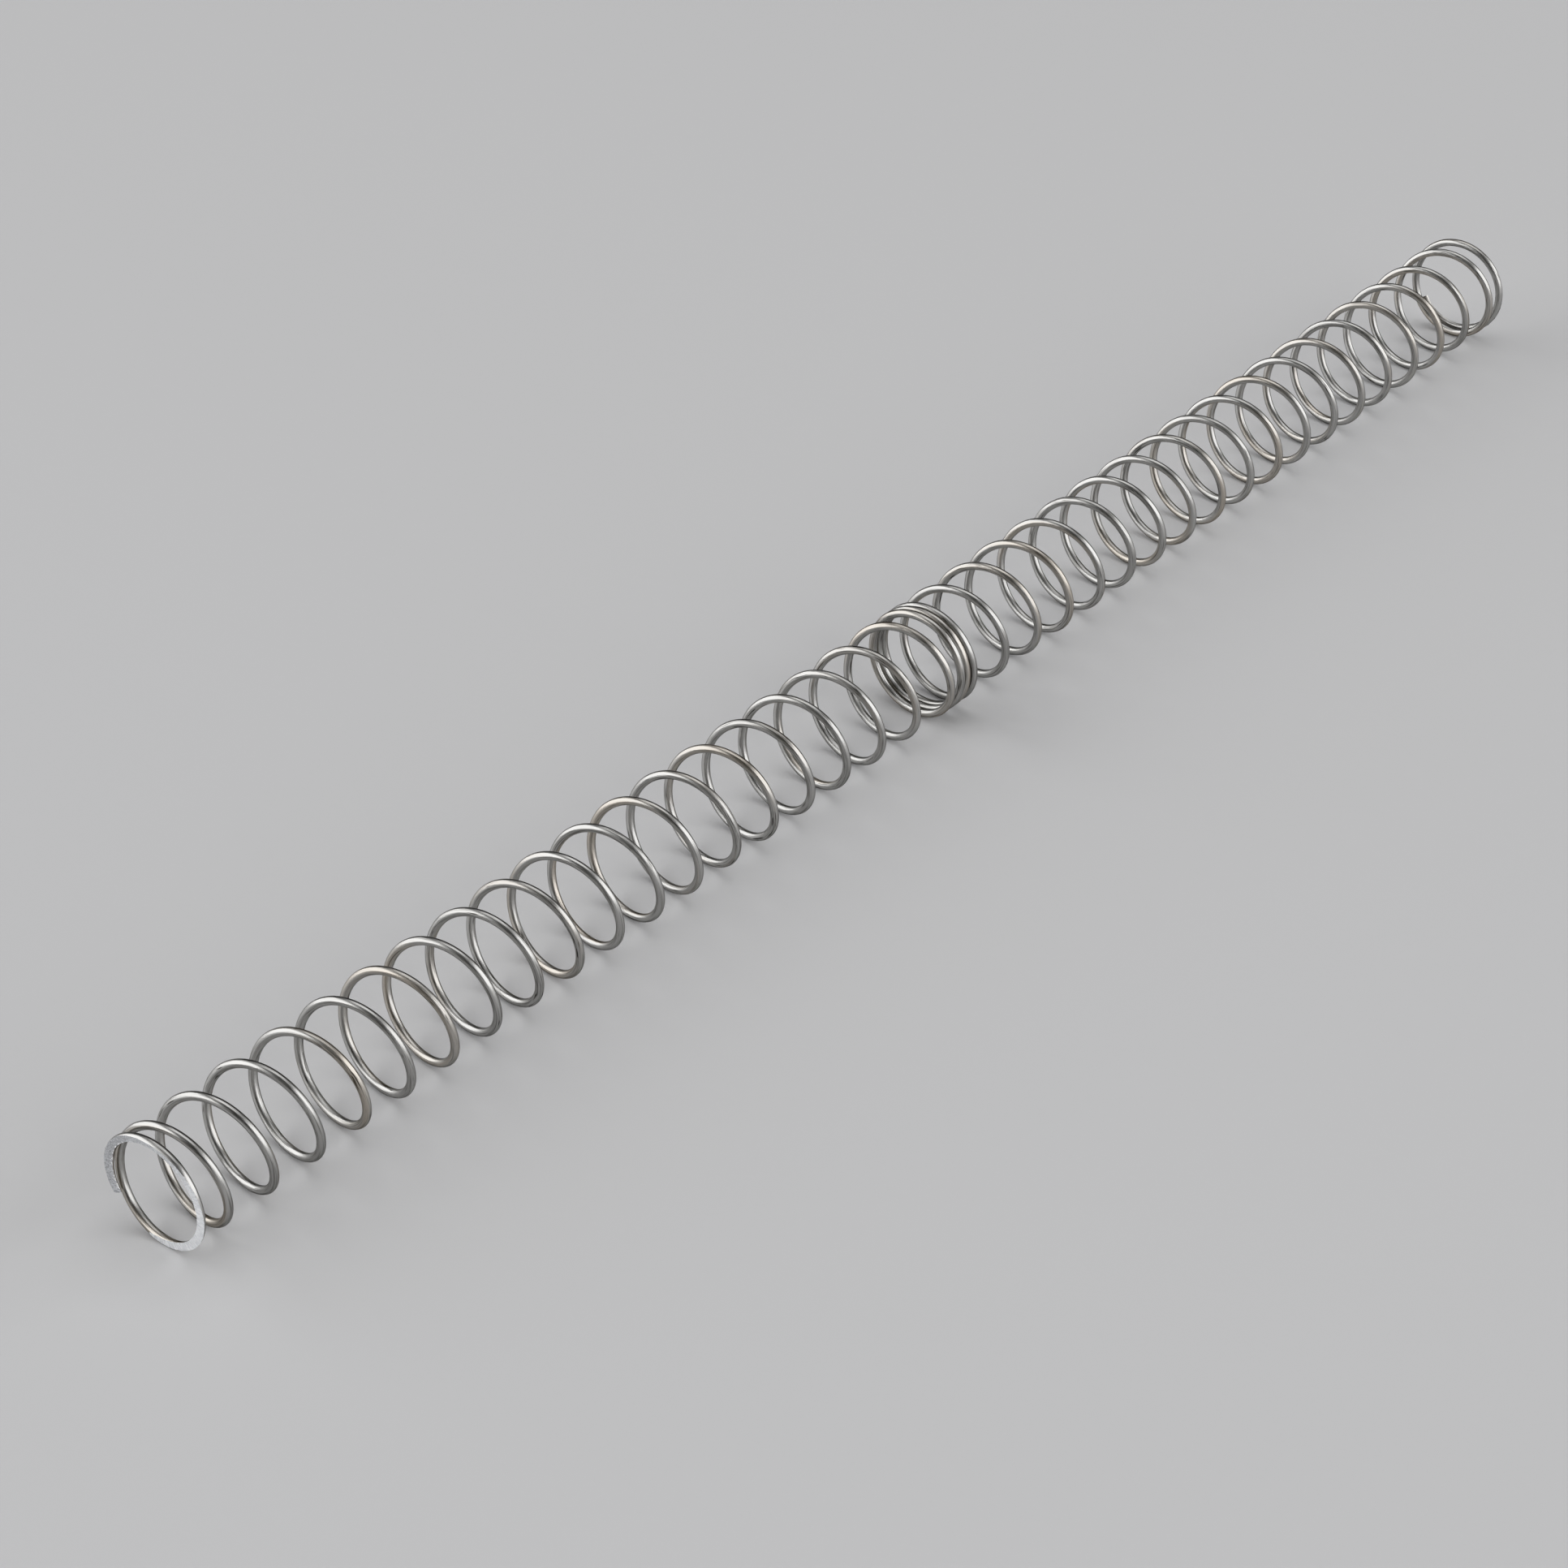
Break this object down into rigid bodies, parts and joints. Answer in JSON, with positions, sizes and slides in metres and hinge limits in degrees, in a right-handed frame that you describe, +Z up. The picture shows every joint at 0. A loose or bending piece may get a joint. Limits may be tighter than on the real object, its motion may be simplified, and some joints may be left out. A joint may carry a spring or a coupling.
{
  "type": "compression spring",
  "caption": "Long helical compression spring of round steel wire, with closed and ground ends and a band of closed coils at its middle.",
  "frame": {"origin": "on the surface that the spring lies on, midway along its length, under its axis", "axes": "+X along the spring's axis from the near end to the far end, +Z up"},
  "size_m": [0.2536, 0.014, 0.014],
  "materials": {
    "drawn_wire": "bright drawn spring wire with fine lengthwise draw lines and faint straw tints",
    "ground_wire": "bright drawn spring wire, ground flat across the end of the spring"
  },
  "bodies": {
    "near_end": {"near_end_coil": "ground_wire"},
    "near_coil_01": {"near_coil_01": "drawn_wire"},
    "near_coil_02": {"near_coil_02": "drawn_wire"},
    "near_coil_03": {"near_coil_03": "drawn_wire"},
    "near_coil_04": {"near_coil_04": "drawn_wire"},
    "near_coil_05": {"near_coil_05": "drawn_wire"},
    "near_coil_06": {"near_coil_06": "drawn_wire"},
    "near_coil_07": {"near_coil_07": "drawn_wire"},
    "near_coil_08": {"near_coil_08": "drawn_wire"},
    "near_coil_09": {"near_coil_09": "drawn_wire"},
    "near_coil_10": {"near_coil_10": "drawn_wire"},
    "near_coil_11": {"near_coil_11": "drawn_wire"},
    "near_coil_12": {"near_coil_12": "drawn_wire"},
    "near_coil_13": {"near_coil_13": "drawn_wire"},
    "near_coil_14": {"near_coil_14": "drawn_wire"},
    "near_coil_15": {"near_coil_15": "drawn_wire"},
    "near_coil_16": {"near_coil_16": "drawn_wire"},
    "near_coil_17": {"near_coil_17": "drawn_wire"},
    "near_coil_18": {"near_coil_18": "drawn_wire"},
    "closed_band": {"band_coil_1": "drawn_wire", "band_coil_2": "drawn_wire", "band_coil_3": "drawn_wire", "band_coil_4": "drawn_wire"},
    "far_coil_01": {"far_coil_01": "drawn_wire"},
    "far_coil_02": {"far_coil_02": "drawn_wire"},
    "far_coil_03": {"far_coil_03": "drawn_wire"},
    "far_coil_04": {"far_coil_04": "drawn_wire"},
    "far_coil_05": {"far_coil_05": "drawn_wire"},
    "far_coil_06": {"far_coil_06": "drawn_wire"},
    "far_coil_07": {"far_coil_07": "drawn_wire"},
    "far_coil_08": {"far_coil_08": "drawn_wire"},
    "far_coil_09": {"far_coil_09": "drawn_wire"},
    "far_coil_10": {"far_coil_10": "drawn_wire"},
    "far_coil_11": {"far_coil_11": "drawn_wire"},
    "far_coil_12": {"far_coil_12": "drawn_wire"},
    "far_coil_13": {"far_coil_13": "drawn_wire"},
    "far_coil_14": {"far_coil_14": "drawn_wire"},
    "far_coil_15": {"far_coil_15": "drawn_wire"},
    "far_coil_16": {"far_coil_16": "drawn_wire"},
    "far_coil_17": {"far_coil_17": "drawn_wire"},
    "far_end": {"far_coil_18": "drawn_wire", "far_end_coil": "ground_wire"}
  },
  "joints": [
    {"name": "near_section", "type": "slide", "parent": "near_end", "child": "closed_band", "axis": [1, 0, 0], "range_m": [-0.10012, 0], "stiffness_N_per_m": 241.3},
    {"name": "near_coil_01_travel", "type": "slide", "parent": "near_end", "child": "near_coil_01", "axis": [1, 0, 0], "range_m": [-0.000328, 0]},
    {"name": "near_coil_02_travel", "type": "slide", "parent": "near_end", "child": "near_coil_02", "axis": [1, 0, 0], "range_m": [-0.0046, 0]},
    {"name": "near_coil_03_travel", "type": "slide", "parent": "near_end", "child": "near_coil_03", "axis": [1, 0, 0], "range_m": [-0.0103, 0]},
    {"name": "near_coil_04_travel", "type": "slide", "parent": "near_end", "child": "near_coil_04", "axis": [1, 0, 0], "range_m": [-0.01599, 0]},
    {"name": "near_coil_05_travel", "type": "slide", "parent": "near_end", "child": "near_coil_05", "axis": [1, 0, 0], "range_m": [-0.02169, 0]},
    {"name": "near_coil_06_travel", "type": "slide", "parent": "near_end", "child": "near_coil_06", "axis": [1, 0, 0], "range_m": [-0.02738, 0]},
    {"name": "near_coil_07_travel", "type": "slide", "parent": "near_end", "child": "near_coil_07", "axis": [1, 0, 0], "range_m": [-0.03308, 0]},
    {"name": "near_coil_08_travel", "type": "slide", "parent": "near_end", "child": "near_coil_08", "axis": [1, 0, 0], "range_m": [-0.03878, 0]},
    {"name": "near_coil_09_travel", "type": "slide", "parent": "near_end", "child": "near_coil_09", "axis": [1, 0, 0], "range_m": [-0.04447, 0]},
    {"name": "near_coil_10_travel", "type": "slide", "parent": "near_end", "child": "near_coil_10", "axis": [1, 0, 0], "range_m": [-0.05017, 0]},
    {"name": "near_coil_11_travel", "type": "slide", "parent": "near_end", "child": "near_coil_11", "axis": [1, 0, 0], "range_m": [-0.05586, 0]},
    {"name": "near_coil_12_travel", "type": "slide", "parent": "near_end", "child": "near_coil_12", "axis": [1, 0, 0], "range_m": [-0.06156, 0]},
    {"name": "near_coil_13_travel", "type": "slide", "parent": "near_end", "child": "near_coil_13", "axis": [1, 0, 0], "range_m": [-0.06726, 0]},
    {"name": "near_coil_14_travel", "type": "slide", "parent": "near_end", "child": "near_coil_14", "axis": [1, 0, 0], "range_m": [-0.07295, 0]},
    {"name": "near_coil_15_travel", "type": "slide", "parent": "near_end", "child": "near_coil_15", "axis": [1, 0, 0], "range_m": [-0.07865, 0]},
    {"name": "near_coil_16_travel", "type": "slide", "parent": "near_end", "child": "near_coil_16", "axis": [1, 0, 0], "range_m": [-0.08435, 0]},
    {"name": "near_coil_17_travel", "type": "slide", "parent": "near_end", "child": "near_coil_17", "axis": [1, 0, 0], "range_m": [-0.09004, 0]},
    {"name": "near_coil_18_travel", "type": "slide", "parent": "near_end", "child": "near_coil_18", "axis": [1, 0, 0], "range_m": [-0.09574, 0]},
    {"name": "far_section", "type": "slide", "parent": "closed_band", "child": "far_end", "axis": [1, 0, 0], "range_m": [-0.09763, 0], "stiffness_N_per_m": 246.5},
    {"name": "far_coil_01_travel", "type": "slide", "parent": "closed_band", "child": "far_coil_01", "axis": [1, 0, 0], "range_m": [-0.00244, 0]},
    {"name": "far_coil_02_travel", "type": "slide", "parent": "closed_band", "child": "far_coil_02", "axis": [1, 0, 0], "range_m": [-0.00814, 0]},
    {"name": "far_coil_03_travel", "type": "slide", "parent": "closed_band", "child": "far_coil_03", "axis": [1, 0, 0], "range_m": [-0.01384, 0]},
    {"name": "far_coil_04_travel", "type": "slide", "parent": "closed_band", "child": "far_coil_04", "axis": [1, 0, 0], "range_m": [-0.01953, 0]},
    {"name": "far_coil_05_travel", "type": "slide", "parent": "closed_band", "child": "far_coil_05", "axis": [1, 0, 0], "range_m": [-0.02523, 0]},
    {"name": "far_coil_06_travel", "type": "slide", "parent": "closed_band", "child": "far_coil_06", "axis": [1, 0, 0], "range_m": [-0.03092, 0]},
    {"name": "far_coil_07_travel", "type": "slide", "parent": "closed_band", "child": "far_coil_07", "axis": [1, 0, 0], "range_m": [-0.03662, 0]},
    {"name": "far_coil_08_travel", "type": "slide", "parent": "closed_band", "child": "far_coil_08", "axis": [1, 0, 0], "range_m": [-0.04231, 0]},
    {"name": "far_coil_09_travel", "type": "slide", "parent": "closed_band", "child": "far_coil_09", "axis": [1, 0, 0], "range_m": [-0.04801, 0]},
    {"name": "far_coil_10_travel", "type": "slide", "parent": "closed_band", "child": "far_coil_10", "axis": [1, 0, 0], "range_m": [-0.05371, 0]},
    {"name": "far_coil_11_travel", "type": "slide", "parent": "closed_band", "child": "far_coil_11", "axis": [1, 0, 0], "range_m": [-0.0594, 0]},
    {"name": "far_coil_12_travel", "type": "slide", "parent": "closed_band", "child": "far_coil_12", "axis": [1, 0, 0], "range_m": [-0.0651, 0]},
    {"name": "far_coil_13_travel", "type": "slide", "parent": "closed_band", "child": "far_coil_13", "axis": [1, 0, 0], "range_m": [-0.07079, 0]},
    {"name": "far_coil_14_travel", "type": "slide", "parent": "closed_band", "child": "far_coil_14", "axis": [1, 0, 0], "range_m": [-0.07649, 0]},
    {"name": "far_coil_15_travel", "type": "slide", "parent": "closed_band", "child": "far_coil_15", "axis": [1, 0, 0], "range_m": [-0.08219, 0]},
    {"name": "far_coil_16_travel", "type": "slide", "parent": "closed_band", "child": "far_coil_16", "axis": [1, 0, 0], "range_m": [-0.08788, 0]},
    {"name": "far_coil_17_travel", "type": "slide", "parent": "closed_band", "child": "far_coil_17", "axis": [1, 0, 0], "range_m": [-0.09358, 0]}
  ],
  "couplings": [
    {"joint": "near_coil_01_travel", "follows": "near_section", "ratio": 0.003261},
    {"joint": "near_coil_02_travel", "follows": "near_section", "ratio": 0.045932},
    {"joint": "near_coil_03_travel", "follows": "near_section", "ratio": 0.10282},
    {"joint": "near_coil_04_travel", "follows": "near_section", "ratio": 0.15971},
    {"joint": "near_coil_05_travel", "follows": "near_section", "ratio": 0.21661},
    {"joint": "near_coil_06_travel", "follows": "near_section", "ratio": 0.2735},
    {"joint": "near_coil_07_travel", "follows": "near_section", "ratio": 0.33039},
    {"joint": "near_coil_08_travel", "follows": "near_section", "ratio": 0.38729},
    {"joint": "near_coil_09_travel", "follows": "near_section", "ratio": 0.44418},
    {"joint": "near_coil_10_travel", "follows": "near_section", "ratio": 0.50108},
    {"joint": "near_coil_11_travel", "follows": "near_section", "ratio": 0.55797},
    {"joint": "near_coil_12_travel", "follows": "near_section", "ratio": 0.61486},
    {"joint": "near_coil_13_travel", "follows": "near_section", "ratio": 0.67176},
    {"joint": "near_coil_14_travel", "follows": "near_section", "ratio": 0.72865},
    {"joint": "near_coil_15_travel", "follows": "near_section", "ratio": 0.78554},
    {"joint": "near_coil_16_travel", "follows": "near_section", "ratio": 0.84244},
    {"joint": "near_coil_17_travel", "follows": "near_section", "ratio": 0.89933},
    {"joint": "near_coil_18_travel", "follows": "near_section", "ratio": 0.95622},
    {"joint": "far_coil_01_travel", "follows": "far_section", "ratio": 0.025008},
    {"joint": "far_coil_02_travel", "follows": "far_section", "ratio": 0.083351},
    {"joint": "far_coil_03_travel", "follows": "far_section", "ratio": 0.14169},
    {"joint": "far_coil_04_travel", "follows": "far_section", "ratio": 0.20004},
    {"joint": "far_coil_05_travel", "follows": "far_section", "ratio": 0.25838},
    {"joint": "far_coil_06_travel", "follows": "far_section", "ratio": 0.31672},
    {"joint": "far_coil_07_travel", "follows": "far_section", "ratio": 0.37506},
    {"joint": "far_coil_08_travel", "follows": "far_section", "ratio": 0.43341},
    {"joint": "far_coil_09_travel", "follows": "far_section", "ratio": 0.49175},
    {"joint": "far_coil_10_travel", "follows": "far_section", "ratio": 0.55009},
    {"joint": "far_coil_11_travel", "follows": "far_section", "ratio": 0.60843},
    {"joint": "far_coil_12_travel", "follows": "far_section", "ratio": 0.66678},
    {"joint": "far_coil_13_travel", "follows": "far_section", "ratio": 0.72512},
    {"joint": "far_coil_14_travel", "follows": "far_section", "ratio": 0.78346},
    {"joint": "far_coil_15_travel", "follows": "far_section", "ratio": 0.84181},
    {"joint": "far_coil_16_travel", "follows": "far_section", "ratio": 0.90015},
    {"joint": "far_coil_17_travel", "follows": "far_section", "ratio": 0.95846}
  ]
}
